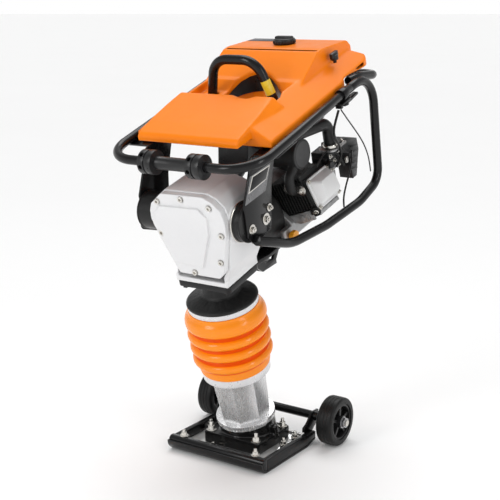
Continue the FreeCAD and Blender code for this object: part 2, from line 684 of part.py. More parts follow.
def flywheel():
    """Fan wheel on the tail of the crankshaft."""
    disc = pipe(84, 12.5, (0, 328, 0), (0, 1, 0), 8)
    blades = []
    for i in range(12):
        blade = box(48, 82, 335, 350, -2, 2)
        blade.rotate(V(0, 0, 0), V(0, 1, 0), 30 * i)
        blades.append(blade)
    return engine(fused([disc, pipe(30, 12.5, (0, 336, 0), (0, 1, 0), 10)] + blades))


def recoil_starter():
    """Fan cover, open toward the engine, with the rope pulley's housing on its back."""
    outer = rod(96, (0, 324, S_PINION), (0, 1, 0), 46)
    outer = outer.makeFillet(9, [e for e in outer.Edges if e.BoundBox.Center.y > 369])
    inner = rod(90, (0, 323, S_PINION), (0, 1, 0), 41)
    shape = outer.cut(inner)
    for i in range(12):
        slot = box(34, 66, 350, 380, -3, 3)
        slot.rotate(V(0, 0, 0), V(0, 1, 0), 30 * i)
        slot.translate(V(0, 0, S_PINION))
        shape = shape.cut(slot)
    can = rod(42, (0, 370, S_PINION), (0, 1, 0), 22)
    can = can.makeFillet(5, [e for e in can.Edges if e.BoundBox.Center.y > 391])
    arm = box(-62, 0, 370, 390, S_PINION + 18, S_PINION + 38)
    arm = arm.makeFillet(4, [e for e in arm.Edges if e.BoundBox.XLength > 50])
    rope_way = rod(3.2, (-80, 380, S_PINION + 28), (1, 0, 0), 82)
    return leg(fused([shape, can, arm]).cut(rope_way))


def recoil_handle():
    """Rope grip and the rope stub that it draws out."""
    s = S_PINION + 28
    grip = box(-82, -64, 372, 388, s - 22, s + 22)
    grip = grip.makeFillet(6, [e for e in grip.Edges if e.BoundBox.YLength > 10])
    rope = rod(2.4, (-66, 380, s), (1, 0, 0), 64)
    return leg(fused([grip, rope]))


def oil_cap():
    """Yellow filler plug of the sump."""
    u, s = 180.0, 520.0
    head = rod(14, (107, u, s), (1, 0, 0), 10)
    for i in range(8):
        a = math.pi / 4 * i
        head = head.cut(rod(3, (106, u + 15.5 * math.cos(a), s + 15.5 * math.sin(a)), (1, 0, 0), 12))
    collar = rod(8, (100.3, u, s), (1, 0, 0), 8)
    return leg(fused([head, collar]))


def engine_cradle():
    """Folded steel bed from the flange plate to the engine's sump."""
    bed = prism([(64, S_PLATE + 6), (118, 484), (322, 484), (322, 492.5), (124, 492.5), (64, S_CASE)],
                "x", -70, 140)
    drop = prism([(64, S_PLATE + 10), (110, 448), (172, 440), (172, 450), (205, 484), (120, 484)], "x", -52, 8)
    drop_slot = prism([(120, 476), (128, 462), (160, 458), (176, 476)], "x", -60, 30)
    drop = drop.cut(drop_slot)
    foot = prism([(110, 448), (172, 440), (172, 450), (116, 456)], "x", -52, 104)
    return leg(fused([bed, drop, mirrored(drop), foot]))


# ---------------------------------------------------------------- frame
def side_plate(side):
    """Plate from the handle down to the rubber mount, with a shelf under the tank."""
    outline = [(-8, 766), (-45, 706), (-51, 636), (-31, 611), (-7, 596), (31, 602), (47, 630), (70, 714),
               (97, 765), (145, 850), (44, 850)]
    plate = leg(prism(outline, "x", PLATE_X, PLATE_T))
    below = handle(box(100, 200, -40, 400, -200, -12))
    plate = plate.common(below)
    shelf = handle(box(PLATE_X, HANDLE_X + 4, 94, 180, -15.5, -11.3))
    shape = fused([plate, shelf])
    return shape if side > 0 else mirrored(shape)


def side_plates():
    return group([side_plate(1), side_plate(-1)])


def rubber_mounts():
    """Round shear mounts between the crankcase and the side plates, with steel rings."""
    out = []
    ring = 4.0
    for side, start in ((1, MOUNT_IN), (-1, MOUNT_IN_LEFT)):
        axis = (side, 0, 0)
        out.append(leg(rod(48, (side * start, MOUNT_U, MOUNT_S), axis, ring)))
        out.append(leg(rod(46, (side * (start + ring), MOUNT_U, MOUNT_S), axis, PLATE_X - start - ring)))
    return group(out)


def handle_bar():
    """Front bar, corners and the straight side tubes."""
    points = [(HANDLE_X, JOIN_V, 0), (HANDLE_X, 0, 0), (-HANDLE_X, 0, 0), (-HANDLE_X, JOIN_V, 0)]
    return handle(swept(points, [CORNER, CORNER], TUBE_R, TUBE_IN))


def guard(side):
    """Tube from the side tube down behind the engine and forward to the side plate."""
    start = point_of(handle, HANDLE_X, JOIN_V + 0.2, 0)
    ahead = point_of(handle, HANDLE_X, JOIN_V + 30, 0)
    points = [(start.x, start.y, start.z), (ahead.x, ahead.y, ahead.z), (205, 268, 926), (205, 318, 664),
              (197, 236, 618), (178, 104, 577), (163, -30, 554), (161.3, -172, 586)]
    shape = swept(points, [150, 70, 48, 150, 150, 150], TUBE_R, TUBE_IN)
    back = (V(*points[-2]) - V(*points[-1])).normalize()
    shape = fused([shape, rod(TUBE_IN + 0.5, points[-1], back, 4)])
    return shape if side > 0 else mirrored(shape)


def guard_tubes():
    return group([guard(1), guard(-1)])


def rear_handle():
    """Rear bar, bent round from one side tube to the other."""
    x = HANDLE_X - 2 * TUBE_R - 0.3
    points = [(x, 190, 917), (x, 240, 926), (x, 352, 926), (-x, 352, 926), (-x, 240, 926), (-x, 190, 917)]
    return swept(points, [60, 52, 52, 60], TUBE_R, TUBE_IN)


def lifting_hoop():
    """Hoop and the cross bar that it stands on."""
    v = 292.0
    points = [(-98, v, -6), (-60, v, 126), (60, v, 126), (98, v, -6)]
    hoop = swept(points, [52, 52], 11.5, 9)
    bar = box(-HANDLE_X, HANDLE_X, v - 20, v + 20, -16.5, -11.3)
    feet = [rod(16, (x * 99, v, -11.5), (0, 0, 1), 9) for x in (-1, 1)]
    return handle(fused([hoop, bar] + feet))


# ---------------------------------------------------------------- tank
def hood_section(v, i):
    """The hood's section across the machine: upright sides at the front, sloping at the rear."""
    low, high, foot, top = (138, 135, 36, 84) if v < 100 else (150, 108, 44, 86)
    half = [(low - i, 0), (low - i, foot), (high - i, top)]
    pts = [V(x, v, h) for x, h in half] + [V(-x, v, h) for x, h in reversed(half)]
    return Part.makePolygon(pts + [pts[0]])


WELL_OUTLINE = [(-53, 236), (-53, 300), (-50, 326), (-40, 350), (-21, 368), (0, 376), (20, 375), (44, 363),
                (68, 345), (90, 324), (108, 302), (122, 280), (128, 262), (128, 236)]


def tank_body(inset):
    """The tank's outer form, drawn in by a wall's thickness for its inside."""
    i = inset
    across = [(-188 + i, i - 9), (-188 + i, 14), (-120 + i / 2, 59 - i), (120 - i / 2, 59 - i), (188 - i, 14),
              (188 - i, i - 9)]
    upper = [(-182 + i, 0), (-181 + i, 22), (-149 + i, 92), (149 - i, 92), (181 - i, 22), (182 - i, 0)]
    along = [(112 + i, i), (112 + i, 43 - i), (236, 56 - i), (520, 54 - i), (575 - i, 40), (600 - i, 18),
             (601 - i, i - 2), (560, 2 + i), (480, 14 + i), (457 - i, 14 + i), (455 - i, i - 9),
             (128 + i, i - 9)]
    plan = [(188, 0), (188, 440), (182, 466), (182, 700), (-182, 700), (-182, 466), (-188, 440), (-188, 0)]
    lower = prism(across, "y", 0, 700).common(prism(along, "x", -200, 400)).common(prism(plan, "z", -50, 200))
    corner = 34.0
    for side in (-1, 1):
        block = box(-corner, corner, -corner, corner, -50, 150)
        block.translate(V(side * (182 - i), 601 - i, 0))
        round_end = rod(corner, (side * (182 - i - corner), 601 - i - corner, -60), (0, 0, 1), 300)
        lower = lower.cut(block.cut(round_end))
    hood = prism([(55 + i, 20 + i), (55 + i, 31), (63, 39 - i), (110, 48 - i), (230, 66 - i), (236 - i, 61 - i),
                  (236 - i, 20 + i)], "x", -160, 320)
    hood = hood.common(Part.makeLoft([hood_section(40, i), hood_section(240, i)], True, True))
    hood = hood.cut(Part.makeSphere(80 + i, V(52, 254, 134)))
    rear = prism([(306, 20), (306, 34 - i), (441, 95 - i), (574 - i, 67 - i), (588 - i, 50), (588 - i, 24)],
                 "x", -138 + i, 276 - 2 * i)
    valley = prism([(236 - i, 36 - i), (236 - i, 120), (420, 120), (312, 36 - i)], "x", -120 - i, 240 + 2 * i)
    shape = fused([lower.cut(valley), hood, rear.common(prism(upper, "y", 0, 700))])
    well = prism(scaled(WELL_OUTLINE, 1 + i / 70, (28, 306)), "z", -50, 250)
    legs = [rod(14.5 + i, (x * 98, 292, -6), (-x * 38, 0, 132), 130) for x in (-1, 1)]
    feet = [rod(17 + i, (x * 99, 292, -20), (0, 0, 1), 19 + i) for x in (-1, 1)]
    return shape.cut(fused([well] + legs + feet))


def fuel_tank():
    """Moulded tank, open in the middle for the hoop."""
    shape = tank_body(0).cut(tank_body(TANK_WALL))
    neck = handle_cap(rod(24, (0, 0, -30), (0, 0, 1), 40))
    return handle(shape.cut(neck).cut(rod(5, (TAP_X, TAP_V, 40), (0, 0, 1), 40)))


def handle_cap(shape):
    """From the filler's own frame to the handle frame."""
    out = shape.copy()
    out.rotate(V(0, 0, 0), V(1, 0, 0), -12.8)
    out.translate(V(0, 506, 82.5))
    return out


def fuel_cap():
    skirt = rod(27.5, (0, 0, 0.5), (0, 0, 1), 12)
    skirt = skirt.makeFillet(4, [e for e in skirt.Edges if e.BoundBox.Center.z > 12])
    grip = box(-23, 23, -7, 7, 8, 18.5)
    grip = grip.makeFillet(4, [e for e in grip.Edges if e.BoundBox.Center.z > 18])
    stem = rod(21, (0, 0, -12), (0, 0, 1), 14)
    return handle(handle_cap(fused([skirt, grip, stem])))


def fuel_tap():
    """Turning valve knob on the tank's shoulder."""
    stem = rod(4.5, (TAP_X, TAP_V, 48), (0, 0, 1), 10)
    knob = rod(10, (TAP_X, TAP_V, 56), (0, 0, 1), 12)
    lever = box(TAP_X - 4, TAP_X + 4, TAP_V - 14, TAP_V + 14, 62, 74)
    return handle(fused([stem, knob, lever]))


def throttle_bracket():
    """Clamp under the right-hand side tube with the lever's pivot pin."""
    clamp = pipe(14.5, TUBE_R + 0.1, (HANDLE_X, 394, 0), (0, 1, 0), 22)
    plate = box(HANDLE_X - 12, HANDLE_X + 12, 380, 422, -18, -13.8)
    pin = rod(4, (HANDLE_X, 408, -31), (0, 0, 1), 15)
    stop = box(HANDLE_X - 8, HANDLE_X + 8, 378, 387, -26, -14)
    return handle(fused([clamp, plate, pin, stop]))


def throttle_lever():
    blade = prism([(-9, 400), (9, 400), (9, 424), (6, 466), (-6, 466), (-9, 424)], "z", -25, 5)
    blade.translate(V(HANDLE_X, 0, 0))
    hub = rod(10, (HANDLE_X, 408, -28), (0, 0, 1), 9.7)
    return handle(fused([blade, hub]).cut(rod(4 + RUN, (HANDLE_X, 408, -50), (0, 0, 1), 40)))


def transport_roller():
    """Sleeve and two pierced collars that turn on the front bar."""
    sleeve = rod(15, (-86, 0, 0), (1, 0, 0), 172)
    collars = []
    for x in (-66, 66):
        collar = rod(ROLLER_R, (x - 18, 0, 0), (1, 0, 0), 36)
        groove = pipe(ROLLER_R + 1, ROLLER_R - 2, (x - 2, 0, 0), (1, 0, 0), 4)
        collar = collar.cut(groove)
        for i in range(6):
            hole = rod(5, (x - 10, 0, 19), (0, 0, 1), 20)
            hole.rotate(V(x, 0, 0), V(1, 0, 0), 60 * i + 30)
            collar = collar.cut(hole)
        collars.append(collar)
    shape = fused([sleeve] + collars)
    return handle(shape.cut(rod(TUBE_R + RUN, (-100, 0, 0), (1, 0, 0), 200)))


# ---------------------------------------------------------------- cords
THROTTLE_ROUTE = [(204, 108, 855), (200, 101, 829), (189, 112, 805), (178, 138, 785), (171, 172, 765),
                  (168, 190, 741), (161, 194, 722), (153, 193, 706)]
STOP_ROUTE = [(204, 119, 855), (203.5, 148, 833), (203, 180, 810), (202.5, 212, 786), (202, 240, 762),
              (201, 262, 737), (200, 277, 711), (199, 285, 688)]
IGNITION_ROUTE = [(163, 250, 741), (178, 226, 734), (188, 204, 716), (190, 191, 692), (190, 177, 668),
                  (190, 167, 645), (190, 165, 628), (189.5, 169, 613)]


def main():
    save("sole_plate", sole_plate())
    save("shoe_tray", shoe_tray())
    save("shoe_rim", shoe_rim())
    save("pedestal", pedestal())
    save("foot_fasteners", foot_fasteners())
    save("leg_casting", leg_casting())
    save("spring_cylinder", spring_cylinder())
    save("cylinder_cap", cylinder_cap())
    save("lower_spring", coil(104, 234, 6))
    save("upper_spring", coil(264, 382, 5))
    save("lower_band", lower_band())
    save("upper_band", upper_band())
    save("bellows", bellows())
    save("wheel_bracket", wheel_bracket())
    save("axle", axle())
    for name, side in (("left", 1), ("right", -1)):
        save("tyre_" + name, tyre(side))
        save("wheel_hub_" + name, wheel_hub(side))
    save("guide_housing", guide_housing())
    save("flange_plate", flange_plate())
    save("crankcase", crankcase())
    save("gear_cover", gear_cover())
    save("casing_fasteners", casing_fasteners())
    save("crank_bearings", crank_bearings())
    save("crank_gear", crank_gear())
    save("clutch_drum", clutch_drum())
    save("connecting_rod", connecting_rod())
    save("ram_rod", ram_rod())
    save("clutch_housing", clutch_housing())
    save("engine_rotor", engine_rotor())
    save("centrifugal_clutch", centrifugal_clutch())
    save("engine_block", engine_block())
    save("engine_cylinder", engine_cylinder())
    save("valve_cover", valve_cover())
    save("muffler", muffler())
    save("carburettor", carburettor())
    save("air_box", air_box())
    save("intake_elbow", intake_elbow())
    save("air_cleaner", air_cleaner())
    save("flywheel", flywheel())
    save("recoil_starter", recoil_starter())
    save("recoil_handle", recoil_handle())
    save("oil_cap", oil_cap())
    save("engine_cradle", engine_cradle())
    save("side_plates", side_plates())
    save("rubber_mounts", rubber_mounts())
    save("handle_bar", handle_bar())
    save("rear_handle", rear_handle())
    save("guard_tubes", guard_tubes())
    save("lifting_hoop", lifting_hoop())
    save("fuel_tank", fuel_tank())
    save("fuel_cap", fuel_cap())
    save("fuel_tap", fuel_tap())
    save("throttle_bracket", throttle_bracket())
    save("throttle_lever", throttle_lever())
    save("transport_roller", transport_roller())
    save("throttle_cable", cord("throttle_cable", THROTTLE_ROUTE, 3.0))
    save("stop_wire", cord("stop_wire", STOP_ROUTE, 1.6))
    save("ignition_wire", cord("ignition_wire", IGNITION_ROUTE, 2.2))


main()
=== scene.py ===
import bpy
import bmesh
import math
from mathutils import Matrix, Vector


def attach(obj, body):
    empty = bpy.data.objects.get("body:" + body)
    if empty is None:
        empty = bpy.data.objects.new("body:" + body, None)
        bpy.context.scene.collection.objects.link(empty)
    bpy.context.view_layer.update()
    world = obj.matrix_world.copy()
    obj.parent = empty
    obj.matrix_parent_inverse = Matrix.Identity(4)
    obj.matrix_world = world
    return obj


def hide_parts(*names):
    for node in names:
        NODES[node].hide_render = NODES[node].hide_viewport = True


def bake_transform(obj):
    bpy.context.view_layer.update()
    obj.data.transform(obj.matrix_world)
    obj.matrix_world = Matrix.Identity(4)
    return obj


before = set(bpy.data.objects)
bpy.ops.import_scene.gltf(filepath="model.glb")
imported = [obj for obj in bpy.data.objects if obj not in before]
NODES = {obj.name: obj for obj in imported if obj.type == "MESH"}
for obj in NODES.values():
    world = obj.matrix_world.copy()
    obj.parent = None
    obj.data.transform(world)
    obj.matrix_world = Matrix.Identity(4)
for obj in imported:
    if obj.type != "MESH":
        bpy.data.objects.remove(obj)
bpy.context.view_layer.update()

# ---------------------------------------------------------------- frames
MM = 0.001
LEAN = math.radians(17.0)
HANDLE_RISE = math.radians(19.8)
CYLINDER_ROLL = math.radians(-19.5)
FILLER_SLOPE = math.radians(-12.8)


def turned(angle, axis):
    """A rotation in radians about one axis."""
    return Matrix.Rotation(angle, 4, axis)


# Z up the leaning leg, from the ground.
LEG = Matrix.Translation((0, 0.045, 0)) @ turned(LEAN, "X")
# Y back along the rising handle, from its front bar.
HANDLE = Matrix.Translation((0, -0.258, 0.754)) @ turned(HANDLE_RISE, "X")
# Y along the crankshaft, X towards the cylinder's head.
ENGINE = LEG @ Matrix.Translation((0, 0, 0.560)) @ turned(CYLINDER_ROLL, "Y")
# Z out of the tank's filler neck.
FILLER = HANDLE @ Matrix.Translation((0, 0.506, 0.0825)) @ turned(FILLER_SLOPE, "X")
GROUND = Matrix.Identity(4)
# Lays an XY outline against a side: its X runs back, its Y up and its Z to the right.
SIDEWAYS = Matrix(((0, 0, 1, 0), (1, 0, 0, 0), (0, 1, 0, 0), (0, 0, 0, 1)))


def at(base, x, y, z, direction=None):
    """A place in a leaning frame, its own Z turned to a direction of that frame.  Millimetres."""
    place = base @ Matrix.Translation((x * MM, y * MM, z * MM))
    if direction is None:
        return place
    return place @ Vector((0, 0, 1)).rotation_difference(Vector(direction)).to_matrix().to_4x4()


# ---------------------------------------------------------------- camera and light
LENS = 77.2
CAMERA_PLACE = (1.452, -2.0985, 1.0923)
CAMERA_TURN = (math.radians(77.2), 0, math.radians(34.2))
FLOOR_RADIUS = 160.0
MIDDLE = (0, 0, 0.6)


def camera():
    """Stands off the front right corner at the tank's height and sees to beyond the floor's edge."""
    data = bpy.data.cameras.new("camera")
    data.lens = LENS
    data.sensor_width = 36.0
    data.clip_end = 2.5 * FLOOR_RADIUS
    obj = bpy.data.objects.new("camera", data)
    bpy.context.collection.objects.link(obj)
    obj.location = CAMERA_PLACE
    obj.rotation_euler = CAMERA_TURN
    bpy.context.scene.camera = obj


def area_light(name, place, aim, size, power):
    """A white soft box that faces its aim."""
    data = bpy.data.lights.new(name, "AREA")
    data.shape = "RECTANGLE"
    data.size, data.size_y = size
    data.energy = power
    obj = bpy.data.objects.new(name, data)
    bpy.context.collection.objects.link(obj)
    obj.location = place
    obj.rotation_euler = (Vector(aim) - Vector(place)).to_track_quat("-Z", "Y").to_euler()


def studio():
    """Pale surroundings, whitest at the horizon, a broad soft sun overhead and two soft boxes."""
    world = bpy.data.worlds.new("studio")
    bpy.context.scene.world = world
    world.use_nodes = True
    tree = world.node_tree
    way = tree.nodes.new("ShaderNodeTexCoord")
    part = tree.nodes.new("ShaderNodeSeparateXYZ")
    fall = tree.nodes.new("ShaderNodeMapRange")
    fall.interpolation_type = "SMOOTHSTEP"
    for key, value in (("From Min", 0.12), ("From Max", 0.45), ("To Min", 1.0), ("To Max", 0.45)):
        fall.inputs[key].default_value = value
    background = tree.nodes["Background"]
    background.inputs["Color"].default_value = (1.0, 1.0, 1.0, 1)
    tree.links.new(way.outputs["Generated"], part.inputs[0])
    tree.links.new(part.outputs["Z"], fall.inputs["Value"])
    tree.links.new(fall.outputs["Result"], background.inputs["Strength"])
    sun = bpy.data.lights.new("sky", "SUN")
    sun.energy = 1.75
    sun.angle = math.radians(50)
    obj = bpy.data.objects.new("sky", sun)
    bpy.context.collection.objects.link(obj)
    obj.rotation_euler = (math.radians(-18), math.radians(-10), 0)
    area_light("key", (-0.9, -2.8, 1.9), (0, -0.1, 0.6), (0.9, 1.6), 26)
    area_light("side", (2.8, -0.6, 1.7), MIDDLE, (0.5, 1.8), 16)
    bpy.context.scene.view_settings.view_transform = "Standard"


camera()
studio()


# ---------------------------------------------------------------- materials
class Shader:
    """A material's node tree, built from the back to the front."""

    def __init__(self, name):
        self.material = bpy.data.materials.new(name)
        self.material.use_nodes = True
        self.tree = self.material.node_tree
        self.bsdf = self.tree.nodes["Principled BSDF"]
        self.coordinates = self.add("ShaderNodeTexCoord").outputs["Object"]

    def add(self, kind, inputs=None, **settings):
        """A node with its settings and its inputs."""
        node = self.tree.nodes.new(kind)
        for key, value in settings.items():
            setattr(node, key, value)
        for key, value in (inputs or {}).items():
            self.give(node, key, value)
        return node

    def give(self, node, key, value):
        """A link to a socket, or a constant on it."""
        if isinstance(value, bpy.types.NodeSocket):
            self.tree.links.new(value, node.inputs[key])
        else:
            node.inputs[key].default_value = value

    def mapped(self, scale, turn):
        """The object's own coordinates, stretched and turned."""
        return self.add("ShaderNodeMapping", {"Vector": self.coordinates, "Scale": scale,
                                              "Rotation": turn}).outputs["Vector"]

    def noise(self, scale, detail=3.0, rough=0.5, vector=None):
        return self.add("ShaderNodeTexNoise", {"Vector": vector or self.coordinates, "Scale": scale,
                                               "Detail": detail, "Roughness": rough}).outputs["Fac"]

    def ranged(self, value, low, high, to_low=0.0, to_high=1.0):
        """A value's span from low to high spread over another, and held at its ends."""
        return self.add("ShaderNodeMapRange", {"Value": value, "From Min": low, "From Max": high,
                                               "To Min": to_low, "To Max": to_high}).outputs["Result"]

    def times(self, a, b):
        return self.add("ShaderNodeMath", {0: a, 1: b}, operation="MULTIPLY").outputs[0]

    def mix(self, amount, a, b):
        """Two colours; the node has its colour sockets after those for numbers and vectors."""
        colour_a, colour_b, colour_out = 6, 7, 2
        node = self.add("ShaderNodeMix", {"Factor": amount, colour_a: a, colour_b: b}, data_type="RGBA")
        return node.outputs[colour_out]

    def bump(self, height, distance, normal=None):
        """Relief of a depth in metres, on top of an earlier normal."""
        node = self.add("ShaderNodeBump", {"Height": height, "Strength": 1.0, "Distance": distance})
        if normal is not None:
            self.give(node, "Normal", normal)
        return node.outputs["Normal"]

    def finish(self, **inputs):
        """Inputs of the shader itself, with underscores for the spaces in their names."""
        for key, value in inputs.items():
            self.give(self.bsdf, key.replace("_", " "), value)
        return self.material


def rgb(r, g, b):
    """A linear colour, opaque."""
    return (r, g, b, 1.0)


def surface(name, base, accent, rough, metallic=0.0, patch=5.0, grain=(), stretch=(1, 1, 1), turn=(0, 0, 0),
            wear=None, specular=0.5):
    """Mottled colour, uneven roughness, layered bump and, where asked, edges worn to another colour.

    The patch is the scale of the largest mottle, a grain is a bump's (scale, depth in metres), and wear is
    (colour, amount).
    """
    s = Shader(name)
    vector = s.mapped(stretch, turn)
    blotch = s.ranged(s.noise(patch, 5.0, 0.6, vector), 0.3, 0.7)
    fine = s.ranged(s.noise(patch * 22, 3.0, 0.6, vector), 0.35, 0.65)
    colour = s.mix(s.times(blotch, 0.8), base, accent)
    colour = s.mix(s.times(fine, 0.25), colour, accent)
    roughness = s.ranged(s.noise(patch * 6, 4.0, 0.6, vector), 0.3, 0.7, rough[0], rough[1])
    if wear:
        edge = s.add("ShaderNodeNewGeometry").outputs["Pointiness"]
        worn = s.times(s.ranged(edge, 0.53, 0.60), s.ranged(s.noise(60, 4.0), 0.45, 0.6))
        colour = s.mix(s.times(worn, wear[1]), colour, wear[0])
    normal = None
    for scale, distance in grain:
        normal = s.bump(s.noise(scale, 3.0, 0.55, vector), distance, normal)
    s.finish(Base_Color=colour, Roughness=roughness, Metallic=metallic, Specular_IOR_Level=specular)
    if normal is not None:
        s.finish(Normal=normal)
    return s.material


M = {
    "tank": surface("tank_orange", rgb(0.95, 0.235, 0.004), rgb(0.90, 0.205, 0.003), (0.3, 0.4), patch=4,
                    grain=((55, 0.0003), (420, 0.0001)), specular=0.2),
    "bellows": surface("bellows_orange", rgb(0.98, 0.29, 0.004), rgb(0.94, 0.25, 0.004), (0.14, 0.24),
                       patch=9, grain=((120, 0.0001), (900, 0.00004)), specular=0.4),
    # Dark orange for the tank's underside: painted shade, not the plastic's own colour.
    "shade": surface("tank_underside_painted_shade", rgb(0.30, 0.035, 0.002), rgb(0.24, 0.025, 0.002), (0.4, 0.5), patch=4,
                     grain=((55, 0.0003), (420, 0.0001)), specular=0.2),
    # Darker orange for the bellows' valleys: painted shade in the creases between the rings.
    "valley": surface("bellows_valley_painted_shade", rgb(0.88, 0.13, 0.003), rgb(0.80, 0.09, 0.002), (0.34, 0.44), patch=9,
                      grain=((160, 0.0002), (900, 0.0001)), specular=0.2),
    "paint": surface("black_powder_coat", rgb(0.005, 0.005, 0.0055), rgb(0.008, 0.008, 0.0085), (0.14, 0.24),
                     patch=8, grain=((480, 0.00004), (90, 0.00004)), specular=0.28),
    "gloss": surface("black_gloss_paint", rgb(0.005, 0.005, 0.005), rgb(0.009, 0.009, 0.009), (0.1, 0.2),
                     patch=10, grain=((200, 0.0002), (60, 0.0003)), specular=0.6),
    "cast_black": surface("black_casting", rgb(0.007, 0.007, 0.007), rgb(0.012, 0.012, 0.012), (0.4, 0.58),
                          patch=14, grain=((300, 0.0004), (1100, 0.0002)), specular=0.35),
    "aluminium": surface("blasted_aluminium", rgb(0.76, 0.76, 0.765), rgb(0.70, 0.70, 0.71), (0.34, 0.46),
                         0.2, patch=6, grain=((900, 0.00014), (120, 0.00012))),
    "band": surface("white_metal_band", rgb(0.74, 0.74, 0.75), rgb(0.68, 0.68, 0.69), (0.24, 0.34), 0.35,
                    patch=8, grain=((500, 0.0001),)),
    "leg": surface("brushed_leg", rgb(0.84, 0.84, 0.84), rgb(0.76, 0.76, 0.77), (0.24, 0.3), 0.75, patch=4,
                   stretch=(6, 6, 0.35), turn=(-LEAN, 0, 0)),
    "tray": surface("polished_tray", rgb(0.86, 0.86, 0.85), rgb(0.78, 0.78, 0.77), (0.06, 0.16), 0.6, patch=9,
                    grain=((60, 0.0001), (700, 0.00002))),
    "engine": surface("engine_casting", rgb(0.42, 0.42, 0.42), rgb(0.28, 0.28, 0.28), (0.36, 0.55), 0.8,
                      patch=12, grain=((420, 0.0005), (1200, 0.0002)), wear=(rgb(0.7, 0.7, 0.7), 0.5)),
    "block": surface("engine_block_casting", rgb(0.10, 0.10, 0.10), rgb(0.05, 0.05, 0.05), (0.36, 0.55), 0.6,
                     patch=12, grain=((420, 0.0005), (1200, 0.0002))),
    "cover": surface("valve_cover_casting", rgb(0.74, 0.74, 0.74), rgb(0.68, 0.68, 0.68), (0.36, 0.46), 0.3,
                     patch=10, grain=((700, 0.0003),)),
    "zinc": surface("zinc_plate", rgb(0.72, 0.71, 0.68), rgb(0.54, 0.51, 0.46), (0.16, 0.3), 1.0, patch=40,
                    grain=((600, 0.0001),)),
    "steel": surface("machined_steel", rgb(0.45, 0.45, 0.46), rgb(0.34, 0.34, 0.35), (0.24, 0.4), 1.0,
                     patch=20, grain=((500, 0.0001),)),
    "spring": surface("spring_steel", rgb(0.16, 0.16, 0.17), rgb(0.1, 0.1, 0.11), (0.3, 0.45), 0.9, patch=30,
                      grain=((500, 0.0001),)),
    "rubber": surface("black_rubber", rgb(0.007, 0.007, 0.007), rgb(0.012, 0.012, 0.012), (0.26, 0.4),
                      patch=12, grain=((700, 0.0001), (80, 0.0001)), specular=0.28),
    "tyre": surface("tyre_rubber", rgb(0.006, 0.006, 0.006), rgb(0.011, 0.011, 0.011), (0.34, 0.5), patch=16,
                    grain=((400, 0.0002), (1400, 0.0001)), specular=0.22),
    "plastic": surface("black_plastic", rgb(0.006, 0.006, 0.007), rgb(0.011, 0.011, 0.011), (0.26, 0.4),
                       patch=12, grain=((800, 0.00015),), specular=0.4),
    "muffler": surface("muffler_enamel", rgb(0.006, 0.006, 0.006), rgb(0.012, 0.012, 0.012), (0.4, 0.6),
                       patch=18, grain=((500, 0.0003),), specular=0.35),
    "muffler_cap": surface("muffler_cap_enamel", rgb(0.050, 0.050, 0.051), rgb(0.042, 0.042, 0.043),
                           (0.42, 0.52), patch=18, grain=((600, 0.0001),), specular=0.3),
    "yellow": surface("yellow_plastic", rgb(0.85, 0.36, 0.01), rgb(0.75, 0.28, 0.008), (0.25, 0.4), patch=30,
                      grain=((600, 0.0002),)),
    # Grey of the label's sheet: a real plate, and where it reaches down over the black side plate a painted
    # highlight.
    "plate": surface("blank_plate_and_painted_highlight", rgb(0.20, 0.20, 0.205), rgb(0.14, 0.14, 0.145), (0.24, 0.36), 0.7,
                     patch=20, grain=((500, 0.00005),)),
    "strip": surface("dark_strip", rgb(0.035, 0.038, 0.055), rgb(0.025, 0.028, 0.04), (0.3, 0.4), patch=20,
                     grain=((500, 0.00005),)),
    "sticker": surface("yellow_band", rgb(0.78, 0.60, 0.03), rgb(0.70, 0.52, 0.03), (0.25, 0.35), patch=20,
                       grain=((500, 0.00005),)),
    "floor": surface("floor", rgb(0.93, 0.93, 0.93), rgb(0.915, 0.915, 0.915), (0.75, 0.85), patch=0.7,
                     grain=((60, 0.0001),), specular=0.2),
}


# ---------------------------------------------------------------- mesh helpers
WELD = 2e-6
FLAT = math.radians(0.6)


def link(name, mesh):
    """A new object of the scene from a mesh."""
    obj = bpy.data.objects.new(name, mesh)
    bpy.context.collection.objects.link(obj)
    return obj


def settle(obj, material, body, slot, *nodes, angle=32.0):
    """Smooth shading, material, body and the CAD nodes that the piece stands for, which it hides; the slot is
    not used.
    """
    obj.data.materials.clear()
    obj.data.materials.append(M[material])
    if obj.type == "MESH":
        obj.data.shade_smooth()
        obj.data.set_sharp_from_angle(angle=math.radians(angle))
    if body:
        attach(obj, body)
    if nodes:
        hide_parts(*nodes)
    return obj


def from_bmesh(name, bm):
    """A new object from a bmesh, which is used up."""
    mesh = bpy.data.meshes.new(name)
    bm.normal_update()
    bm.to_mesh(mesh)
    bm.free()
    return link(name, mesh)


def cad_copy(node):
    """The CAD node's mesh with its seams closed."""
    bm = bmesh.new()
    bm.from_mesh(NODES[node].data)
    bmesh.ops.remove_doubles(bm, verts=bm.verts, dist=WELD)
    return bm


def rounded(node, width, material, body, slot, segments=2, sharp=28.0):
    """The CAD node with its flats made whole again and its hard edges rounded."""
    bm = cad_copy(node)
    bmesh.ops.dissolve_limit(bm, angle_limit=FLAT, verts=bm.verts, edges=bm.edges)
    edges = [e for e in bm.edges if len(e.link_faces) == 2 and e.calc_face_angle(0) > math.radians(sharp)]
    bmesh.ops.bevel(bm, geom=edges, offset=width * MM, segments=segments, profile=0.5, affect="EDGES",
                    clamp_overlap=True)
    return settle(from_bmesh(node + "_body", bm), material, body, slot, node)


def applied(obj):
    """The object's mesh with its modifiers made final."""
    graph = bpy.context.evaluated_depsgraph_get()
    mesh = bpy.data.meshes.new_from_object(obj.evaluated_get(graph))
    obj.modifiers.clear()
    obj.data = mesh
    return obj


def cast(node, voxel, rounds, material, body, slot):
    """The CAD node as a casting or moulding, every edge softened alike."""
    obj = from_bmesh(node + "_body", cad_copy(node))
    remesh = obj.modifiers.new("voxels", "REMESH")
    remesh.mode = "VOXEL"
    remesh.voxel_size = voxel * MM
    smooth = obj.modifiers.new("soften", "SMOOTH")
    smooth.factor = 0.5
    smooth.iterations = rounds
    return settle(applied(obj), material, body, slot, node, angle=60)


